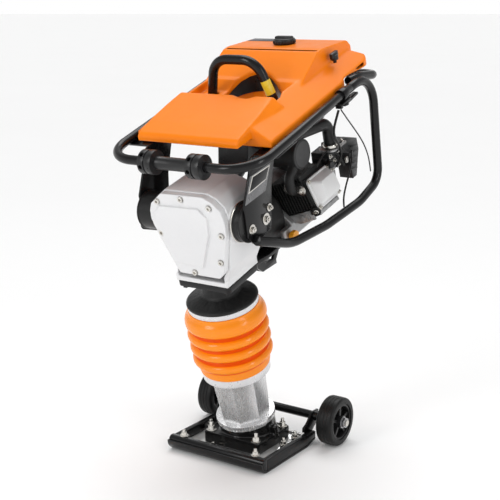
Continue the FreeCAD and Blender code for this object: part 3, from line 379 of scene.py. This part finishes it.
def lathe(name, profile, place, steps=64):
    """A closed (radius, height) outline turned about the place's Z.  Millimetres."""
    bm = bmesh.new()
    rings = []
    for i in range(steps):
        a = 2 * math.pi * i / steps
        rings.append([bm.verts.new(place @ Vector((r * math.cos(a) * MM, r * math.sin(a) * MM, z * MM)))
                      for r, z in profile])
    for i in range(steps):
        here, there = rings[i], rings[(i + 1) % steps]
        for j in range(len(profile)):
            k = (j + 1) % len(profile)
            if profile[j][0] < 1e-6 and profile[k][0] < 1e-6:
                continue
            bm.faces.new((here[j], there[j], there[k], here[k]))
    bmesh.ops.remove_doubles(bm, verts=bm.verts, dist=1e-7)
    bmesh.ops.dissolve_degenerate(bm, edges=bm.edges, dist=1e-8)
    bmesh.ops.recalc_face_normals(bm, faces=bm.faces)
    return from_bmesh(name, bm)


def arc(cx, cy, r, start, end, steps):
    """Points along a circle's arc, its angles in degrees."""
    return [(cx + r * math.cos(math.radians(start + (end - start) * i / steps)),
             cy + r * math.sin(math.radians(start + (end - start) * i / steps))) for i in range(steps + 1)]


def slab(bm, outline, place, low, high, bevel=0.0):
    """An outline in the place's XY plane pushed from low to high, edges bevelled.  Millimetres."""
    verts = [bm.verts.new(place @ Vector((x * MM, y * MM, low * MM))) for x, y in outline]
    face = bm.faces.new(verts)
    grown = bmesh.ops.extrude_face_region(bm, geom=[face])
    shift = place.to_3x3() @ Vector((0, 0, (high - low) * MM))
    top = [g for g in grown["geom"] if isinstance(g, bmesh.types.BMVert)]
    bmesh.ops.translate(bm, verts=top, vec=shift)
    faces = {f for v in verts + top for f in v.link_faces}
    if bevel:
        edges = list({e for f in faces for e in f.edges if e.calc_face_angle(0) > 0.5})
        bmesh.ops.bevel(bm, geom=edges, offset=bevel * MM, segments=2, profile=0.5, affect="EDGES",
                        clamp_overlap=True)


def loft(bm, sections, place):
    """A closed skin through outlines of equal length at rising heights.  Millimetres."""
    rings = [[bm.verts.new(place @ Vector((x * MM, y * MM, z * MM))) for x, y in outline]
             for outline, z in sections]
    n = len(rings[0])
    for low, high in zip(rings, rings[1:]):
        for i in range(n):
            bm.faces.new((low[i], low[(i + 1) % n], high[(i + 1) % n], high[i]))
    bm.faces.new(list(reversed(rings[0])))
    bm.faces.new(rings[-1])


def second(obj, material, base, test):
    """Another material where a test of a face's middle, in millimetres, and its normal says so."""
    obj.data.materials.append(M[material])
    back = base.inverted()
    for face in obj.data.polygons:
        if test((back @ face.center) / MM, back.to_3x3() @ face.normal):
            face.material_index = len(obj.data.materials) - 1


def polygon(r, sides):
    """A regular outline, its first corner on X."""
    return arc(0, 0, r, 0, 360, sides)[:-1]


def rectangle(w, h, r):
    """A rectangle with round corners, centred."""
    out = []
    for cx, cy, start in ((w / 2 - r, h / 2 - r, 0), (r - w / 2, h / 2 - r, 90), (r - w / 2, r - h / 2, 180),
                          (w / 2 - r, r - h / 2, 270)):
        out += arc(cx, cy, r, start, start + 90, 5)
    return out


def hex_bolt(bm, place, across, height):
    """A washer, a chamfered nut on it and the end of the bolt, standing on the place."""
    washer, end = 1.4, 2.6
    top = washer + height
    slab(bm, polygon(across * 0.92, 28), place, 0, washer, 0.25)
    slab(bm, polygon(across / math.sqrt(3), 6), place, washer, top, 0.7)
    slab(bm, polygon(across * 0.27, 20), place, top, top + end, 0.5)


def tube(name, points, radius, place, sides=6):
    """A round bar along a smooth line that its points guide.  Millimetres."""
    data = bpy.data.curves.new(name, "CURVE")
    data.dimensions = "3D"
    data.bevel_depth = radius * MM
    data.bevel_resolution = sides
    data.use_fill_caps = True
    data.resolution_u = 10
    spline = data.splines.new("NURBS")
    spline.points.add(len(points) - 1)
    for knot, (x, y, z) in zip(spline.points, points):
        knot.co = (*(place @ Vector((x * MM, y * MM, z * MM))), 1)
    spline.order_u = 3
    spline.use_endpoint_u = True
    curve = bpy.data.objects.new(name + "_line", data)
    bpy.context.collection.objects.link(curve)
    mesh = bpy.data.meshes.new_from_object(curve.evaluated_get(bpy.context.evaluated_depsgraph_get()))
    bpy.data.objects.remove(curve)
    return link(name, mesh)


def many(name, build, material, body, slot, *nodes):
    """One piece made of several small closed shapes."""
    bm = bmesh.new()
    build(bm)
    bmesh.ops.recalc_face_normals(bm, faces=bm.faces)
    return settle(from_bmesh(name, bm), material, body, slot, *nodes)


# ---------------------------------------------------------------- carried-over nodes
def keep(node, material):
    """A CAD node shown as it is: the bare turned and ground parts, most of them inside the castings."""
    obj = NODES[node]
    obj.data.materials.clear()
    obj.data.materials.append(M[material])


for node in ("spring_cylinder", "cylinder_cap", "crank_bearings", "crank_gear", "clutch_drum",
             "connecting_rod", "ram_rod", "engine_rotor", "centrifugal_clutch", "flywheel"):
    keep(node, "steel")
keep("axle", "zinc")


# ---------------------------------------------------------------- foot
def foot():
    """Shoe, pedestal, leg and the bracket of the wheels; the posts of the shoe's nuts are painted."""
    rounded("sole_plate", 1.2, "paint", "foot", "black_paint")
    rounded("shoe_tray", 1.5, "tray", "foot", "black_paint")
    rounded("shoe_rim", 2.5, "paint", "foot", "black_paint", segments=3)
    cast("pedestal", 2.0, 5, "gloss", "foot", "black_cast")
    nuts = rounded("foot_fasteners", 0.6, "zinc", "foot", "zinc")
    second(nuts, "gloss", GROUND, lambda p, n: p.z < 24.9 and 100 < abs(p.x) < 130)
    second(nuts, "steel", GROUND, lambda p, n: abs(p.x) > 200)
    rounded("leg_casting", 1.8, "leg", "foot", "leg_aluminium", segments=3, sharp=20)
    rounded("lower_band", 1.5, "band", "foot", "cast_aluminium", segments=3)
    rounded("wheel_bracket", 1.5, "paint", "foot", "black_paint")


def bellows():
    """A tall shoulder, three rings with deep valleys between them and a straight skirt."""
    low, high, wall, bore = 243.0, 414.0, 3.0, 77
    ring_bulge, ring_half = 12.5, 11.5
    shoulder_bulge, shoulder_below, shoulder_above = 13.5, 12, 24
    outer = [(84.5, low), (87.5, low + 1.5), (89.5, low + 12), (88.5, low + 14), (90.5, low + 22)]
    for middle, peak in ((280, 100.0), (313.5, 100.5), (347, 101.0)):
        for i in range(13):
            a = math.radians(-80 + 160 * i / 12)
            outer.append((peak - ring_bulge + ring_bulge * math.cos(a), middle + ring_half * math.sin(a)))
        outer.append((peak - 14.5, middle + 16.7))
    for i in range(15):
        a = math.radians(-82 + 150 * i / 14)
        half = shoulder_below if a < 0 else shoulder_above
        outer.append((87.5 + shoulder_bulge * math.cos(a), 381 + half * math.sin(a)))
    outer += [(88.5, high - 5), (87.5, high - 1), (84.5, high)]
    inner = [(max(r - wall, bore), z) for r, z in reversed(outer)]
    obj = lathe("bellows_skin", outer + inner, LEG, 96)
    settle(obj, "bellows", None, "orange_rubber", "bellows", angle=50)
    # Painted shade: the valleys between the rings take the darker orange.
    second(obj, "valley", LEG, lambda p, n: 266 < p.z < 372 and math.hypot(p.x, p.y) < 91.5)
    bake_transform(obj)


def spring(node, low, high, turns):
    """A coil between the foot and the casing, made at one length; the real spring shortens or stretches with
    the stroke.
    """
    coil_radius, wire_radius, inset = 36, 4.4, 4.5
    steps = 14 * turns
    points = []
    for i in range(steps + 1):
        a = 2 * math.pi * turns * i / steps
        height = low + inset + (high - low - 2 * inset) * i / steps
        points.append((coil_radius * math.cos(a), coil_radius * math.sin(a), height))
    obj = tube(node + "_coil", points, wire_radius, LEG, sides=3)
    settle(obj, "spring", None, "spring_steel", node)
    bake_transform(obj)


def tyre(node, body, side):
    """Solid tyre with rounded shoulders and three shallow grooves."""
    half, r, rim, shoulder = 22.5, 62.5, 46, 7.0
    groove_depth, groove_top, groove_floor = 0.9, 1.3, 0.7
    outline = [(rim, -half + 2), (rim + 1, -half), (r - 9, -half)]
    outline += arc(r - shoulder, -half + shoulder, 6.7, -90, -8, 6)
    for z in (-9, 0, 9):
        outline += [(r, z - groove_top), (r - groove_depth, z - groove_floor),
                    (r - groove_depth, z + groove_floor), (r, z + groove_top)]
    outline += arc(r - shoulder, half - shoulder, 6.7, 8, 90, 6)
    outline += [(r - 9, half), (rim + 1, half), (rim, half - 2)]
    place = at(GROUND, side * 185.5, 150, r, (side, 0, 0))
    settle(lathe(node + "_body", outline, place, 96), "tyre", body, "tyre_rubber", node, angle=40)


foot()
bellows()
spring("lower_spring", 104, 234, 6)
spring("upper_spring", 264, 382, 5)
for label, sign in (("left", 1), ("right", -1)):
    tyre("tyre_" + label, "wheel_" + label, sign)
    rounded("wheel_hub_" + label, 0.8, "plastic", "wheel_" + label, "black_plastic")


# ---------------------------------------------------------------- casing
def casing():
    """Gear case and its cover, the cone under it, the clutch's housing, the cradle and the side plates."""
    rounded("upper_band", 1.5, "band", "casing", "cast_aluminium", segments=3)
    rounded("guide_housing", 1.2, "cast_black", "casing", "black_cast")
    rounded("flange_plate", 1.2, "paint", "casing", "black_paint")
    cast("crankcase", 2.0, 4, "aluminium", "casing", "cast_aluminium")
    cast("gear_cover", 1.5, 4, "aluminium", "casing", "cast_aluminium")
    screws = rounded("casing_fasteners", 0.5, "zinc", "casing", "zinc")
    second(screws, "paint", LEG, lambda p, n: p.z < 500)
    cast("clutch_housing", 2.0, 4, "cast_black", "casing", "black_cast")
    rounded("engine_cradle", 1.0, "paint", "casing", "black_paint")
    rounded("side_plates", 1.0, "paint", "casing", "black_paint")


def mounts():
    """Rubber discs between the crankcase and the side plates, each on a bright steel ring."""
    plate_inside = 145
    for label, side, start in (("right", 1, 121), ("left", -1, 94)):
        place = at(LEG, side * start, -25, 662, (side, 0, 0))
        wide = plate_inside - start
        ring = [(0, 0.2), (47, 0.2), (48, 1.0), (48, 3.2), (47, 4.0), (0, 4.0)]
        settle(lathe("mount_ring_" + label, ring, place, 72), "zinc", "casing", "zinc", "rubber_mounts")
        disc = [(0, 4.1), (45.5, 4.1), (46, 5), (46, 7.5), (44.6, 9.5), (44.6, wide - 5), (46, wide - 3),
                (46, wide - 0.8), (45.3, wide), (0, wide)]
        settle(lathe("mount_rubber_" + label, disc, place, 72), "rubber", "casing", "black_rubber",
               "rubber_mounts")


PLATE_OUTSIDE = 150


def side_details():
    """Blank plate with a bright frame on the right side plate, its grey sheet reaching down over the black
    side plate as a painted highlight, and the bolts of both side plates.
    """
    place = LEG @ SIDEWAYS
    sheet = [(-5, 765), (79, 762), (58, 731), (43, 709), (-41, 711), (-29, 729)]
    edge = [(1, 763), (74, 759), (52, 733), (-24, 731)]
    field = [(3.5, 760), (69, 756.5), (50.5, 735.5), (-18, 733.5)]
    for name, outline, low, high, bevel, material, slot in (
            # The sheet's lower part stands over the side plate as a painted highlight.
            ("label_sheet", sheet, 0.05, 0.9, 0.2, "plate", "zinc"),
            ("label_frame", edge, 0.9, 1.5, 0.2, "zinc", "zinc"),
            ("label_field", field, 1.5, 1.9, 0.15, "paint", "black_paint")):
        many(name, lambda bm: slab(bm, outline, place, PLATE_OUTSIDE + low, PLATE_OUTSIDE + high, bevel),
             material, "casing", slot)

    def bolts(bm):
        for side in (1, -1):
            for u, s, across in ((-31, 648, 13), (27, 646, 15), (46, 666, 10)):
                hex_bolt(bm, at(LEG, side * PLATE_OUTSIDE, u, s, (side, 0, 0)), across, 6)
    many("plate_bolts", bolts, "zinc", "casing", "zinc")


def frame_tubes():
    """Handle, guard and hoop, the roller on the front bar, the throttle and the hoop's yellow band."""
    for node in ("handle_bar", "rear_handle", "guard_tubes", "lifting_hoop"):
        rounded(node, 0.8, "paint", "casing", "black_paint")
    rounded("transport_roller", 0.8, "plastic", "roller", "black_plastic")
    rounded("throttle_bracket", 0.8, "paint", "casing", "black_paint")
    rounded("throttle_lever", 0.8, "paint", "throttle", "black_paint")
    band = [(98 - 40 * t, 292, -6 + 139 * t) for t in (0.36, 0.44, 0.52, 0.6)]
    settle(tube("hoop_band", band, 11.8, HANDLE, sides=10), "sticker", "casing", "yellow_plastic")


# ---------------------------------------------------------------- engine
CYLINDER_U = 266
CYLINDER_FRONT = 214
CARBURETTOR_FACE = 150
DECK_TOP = 685.5


def valve_cover():
    """Flanged cover with a sloping dome and its four screws."""
    place = ENGINE @ SIDEWAYS @ Matrix.Translation((CYLINDER_U * MM, 0, 0))
    bm = bmesh.new()
    sections = ((98, 77, 8, 164.3), (100, 79, 9, 165.3), (100, 79, 9, 169.0), (98, 77, 8, 170.0),
                (89, 69, 11, 170.2), (87, 67, 11, 175), (66, 48, 9, 190.5), (62, 44, 8, 193.2),
                (56, 38, 6, 194))
    loft(bm, [(rectangle(w, h, r), z) for w, h, r, z in sections], place)
    settle(from_bmesh("valve_cover_body", bm), "cover", "casing", "cast_aluminium", "valve_cover", angle=24)

    def screws(bm):
        for y in (-45, 45):
            for z in (-34, 34):
                hex_bolt(bm, place @ Matrix.Translation((y * MM, z * MM, 0.170)), 7, 4)
    many("valve_cover_screws", screws, "zinc", "casing", "zinc")


def cylinder_details():
    """Bright duct below the fins, the plug's boot and the nuts of the silencer's flange."""
    place = ENGINE @ SIDEWAYS

    def duct(bm):
        front = at(ENGINE, 0, CYLINDER_FRONT, 0, (0, -1, 0))
        slab(bm, [(70, -33), (84, -52), (104, -60), (151, -58), (151, -33)], front, 0, 6, 1.5)
        slab(bm, [(114 + x, -46 + y) for x, y in polygon(9, 24)], front, 5.5, 8, 0.8)
        for x in (130, 136, 142):
            slab(bm, [(x, -55), (x + 2.5, -55), (x + 2.5, -36), (x, -36)], front, 5.5, 8.5, 0.5)
        slab(bm, [(220, -54), (312, -54), (312, -43), (220, -43)], place, 152, 163, 2)
    many("cylinder_duct", duct, "engine", "casing", "engine_aluminium")
    plug = at(ENGINE, 157, CYLINDER_FRONT, -40, (0.35, -0.85, -0.35))
    boot = [(0, -14), (11, -14), (13, -4), (13, 2), (11.5, 4), (8, 4), (7.5, 1.5), (0, 1.5)]
    settle(lathe("plug_boot", boot, plug, 40), "rubber", "casing", "black_rubber")
    cap = [(0, 1.4), (7.2, 1.4), (7.2, 4), (5.5, 5.5), (2.5, 5.5), (2.5, 3.5), (0, 3.5)]
    settle(lathe("plug_cap", cap, plug, 32), "zinc", "casing", "zinc")

    def nuts(bm):
        for x in (97, 135):
            hex_bolt(bm, at(LEG, x, 206, 632, (0, -1, 0)), 13.2, 7.5)
        for u, z in ((222, 44), (310, 44), (222, -36), (310, -36)):
            hex_bolt(bm, at(ENGINE, 152, u, z, (-1, 0, 0)), 9, 5)
    many("cylinder_nuts", nuts, "zinc", "casing", "zinc")


def carburettor_details():
    """Clamp of the hose, deck plate, screws, the link of the governor and the choke's knob."""
    base = at(LEG, 146, 344, 0)
    clamp = [(15.3, 688), (18.2, 688), (18.8, 689), (18.8, 695), (18.2, 696), (15.3, 696)]
    settle(lathe("hose_clamp", clamp, base, 48), "zinc", "casing", "zinc")
    deck = base @ Matrix.Translation((-0.003, 0.016, 0))
    many("carburettor_deck", lambda bm: slab(bm, rectangle(46, 74, 12), deck, 681, DECK_TOP, 1.0), "engine",
         "casing", "engine_aluminium")

    def screws(bm):
        for u, s in ((330, 634), (361, 634), (330, 668), (361, 668), (346, 650)):
            hex_bolt(bm, at(LEG, CARBURETTOR_FACE, u, s, (1, 0, 0)), 7, 3.5)
        for x, u in ((134, 384), (154, 386), (146, 374)):
            hex_bolt(bm, at(LEG, x, u, DECK_TOP, (0, 0, 1)), 7, 3)
        hex_bolt(bm, at(LEG, 124, 346, 596, (0, 0, -1)), 9, 4)
        slab(bm, rectangle(16, 9, 3), at(LEG, 163.5, 378, 640, (1, 0, 0)), 0, 5, 1)
    many("carburettor_screws", screws, "zinc", "casing", "zinc")
    link_line = [(150, 262, 668), (152, 290, 686), (153, 320, 690), (153, 346, 676), (154, 372, 650),
                 (154, 384, 620)]
    settle(tube("governor_link", link_line, 1.8, LEG), "rubber", "casing", "cable_jacket")
    knob = at(LEG, 151, 318, 652, (1, 0, 0))
    settle(lathe("choke_knob", [(0, 0), (8, 0), (8, 3), (10, 4), (10, 9), (8.5, 10.5), (0, 10.5)], knob, 32),
           "plastic", "casing", "black_plastic")


def engine():
    """Block, finned cylinder, muffler, carburettor and air box, and the starter behind them."""
    block = cast("engine_block", 2.0, 3, "block", "casing", "engine_aluminium")
    second(block, "engine", LEG, lambda p, n: p.x > 62)
    rounded("engine_cylinder", 0.5, "cast_black", "casing", "engine_aluminium")
    valve_cover()
    cylinder_details()
    cast("muffler", 1.5, 4, "muffler", "casing", "black_paint")
    cap = [(0, 0), (35.5, 0), (36.5, 1.2), (36.5, 3.2), (35, 4.4), (32.5, 4.2), (31, 5.2), (0, 6.0)]
    settle(lathe("muffler_end", cap, at(LEG, 127.5, 240, 711, (1, 0, 0)), 72), "muffler_cap", "casing",
           "black_paint")
    carb = cast("carburettor", 1.3, 3, "engine", "casing", "engine_aluminium")
    second(carb, "plastic", LEG, lambda p, n: p.z > 638)
    carburettor_details()
    rounded("air_box", 1.0, "plastic", "casing", "black_plastic")
    rounded("air_cleaner", 1.0, "plastic", "casing", "black_plastic")
    rounded("intake_elbow", 0.8, "rubber", "casing", "black_rubber")
    rounded("recoil_starter", 0.8, "plastic", "casing", "black_plastic")
    rounded("recoil_handle", 0.6, "plastic", "recoil_grip", "black_plastic")
    rounded("oil_cap", 0.8, "yellow", "oil_plug", "yellow_plastic")


# ---------------------------------------------------------------- tank
# The back edge of the well round the hoop, from the left to the right.
WELL = [(-52, 300), (-48.5, 326), (-38.5, 349), (-20, 366.5), (0, 374.5), (20, 373.5), (43.5, 361.5),
        (67, 343.5), (89, 322.5), (106.5, 301)]


# A black sheet over the back of the well's inner wall, where that wall is dark.
def well_black_sheet():
    """Black sheet round the back of the well, its top edge under the lip, which rises to the rear."""
    bm = bmesh.new()
    rings = []
    bottom, lip, lip_start, lip_slope = 12.5, 25, 306, 0.452
    centre = Vector((28, 300))
    for x, v in WELL:
        top = lip + max(v - lip_start, 0) * lip_slope
        inner = centre + (Vector((x, v)) - centre) * 0.975
        corners = ((x, v, bottom), (x, v, top), (inner.x, inner.y, top), (inner.x, inner.y, bottom))
        rings.append([bm.verts.new(HANDLE @ Vector((a * MM, b * MM, h * MM))) for a, b, h in corners])
    for here, there in zip(rings, rings[1:]):
        for j in range(4):
            bm.faces.new((here[j], there[j], there[(j + 1) % 4], here[(j + 1) % 4]))
    bm.faces.new(rings[0])
    bm.faces.new(list(reversed(rings[-1])))
    bmesh.ops.recalc_face_normals(bm, faces=bm.faces)
    settle(from_bmesh("well_black_sheet", bm), "plastic", "casing", "black_plastic")


def tank():
    """Moulded tank with painted shade on its underside, a black sheet in the well, the ribbed cap, the tap
    and a blank strip.
    """
    body = cast("fuel_tank", 2.6, 6, "tank", "casing", "orange_plastic")
    # Painted shade: faces of the tank that look down, low on it, take the dark orange.
    second(body, "shade", HANDLE, lambda p, n: n.z < -0.6 and p.z < 30)
    well_black_sheet()
    rounded("fuel_cap", 0.8, "plastic", "tank_cap", "black_plastic")
    rounded("fuel_tap", 0.8, "plastic", "tank_tap", "black_plastic")

    def ribs(bm):
        for i in range(24):
            place = FILLER @ turned(math.radians(15 * i), "Z")
            slab(bm, [(26.5, -1.6), (28.8, -1.1), (28.8, 1.1), (26.5, 1.6)], place, 1.5, 8.5, 0.3)
    many("fuel_cap_ribs", ribs, "plastic", "tank_cap", "black_plastic")
    slope = HANDLE @ Matrix.Translation((0, 0.441, 0.095)) @ turned(-math.atan2(28, 133), "X")
    strip = [(-131, 95), (-55, 95), (-66, 131), (-131, 131)]
    many("tank_strip", lambda bm: slab(bm, strip, slope, -0.4, 0.6, 0.2), "strip", "casing", "orange_plastic")


casing()
mounts()
side_details()
frame_tubes()
engine()
tank()


# ---------------------------------------------------------------- cables
# Routes in the ground's frame, from their upper ends.
THROTTLE_ROUTE = ((204, 108, 855), (200, 101, 829), (189, 112, 805), (178, 138, 785), (171, 172, 765),
                  (168, 190, 741), (161, 194, 722), (153, 193, 706))
STOP_ROUTE = ((204, 119, 855), (203.5, 148, 833), (203, 180, 810), (202.5, 212, 786), (202, 240, 762),
              (201, 262, 737), (200, 277, 711), (199, 285, 688))
IGNITION_ROUTE = ((163, 250, 741), (178, 226, 734), (188, 204, 716), (190, 191, 692), (190, 177, 668),
                  (190, 167, 645), (190, 165, 628), (189.5, 169, 613))
for node, route, radius in (("throttle_cable", THROTTLE_ROUTE, 3.0), ("stop_wire", STOP_ROUTE, 1.6),
                            ("ignition_wire", IGNITION_ROUTE, 2.2)):
    settle(tube(node + "_line", route, radius, GROUND), "rubber", "casing", "cable_jacket", node)


# ---------------------------------------------------------------- floor
def floor():
    """A white floor, wide enough for its edge to meet the surroundings at the horizon."""
    bm = bmesh.new()
    bmesh.ops.create_circle(bm, cap_ends=True, segments=64, radius=FLOOR_RADIUS)
    obj = from_bmesh("floor", bm)
    obj.data.materials.append(M["floor"])


floor()
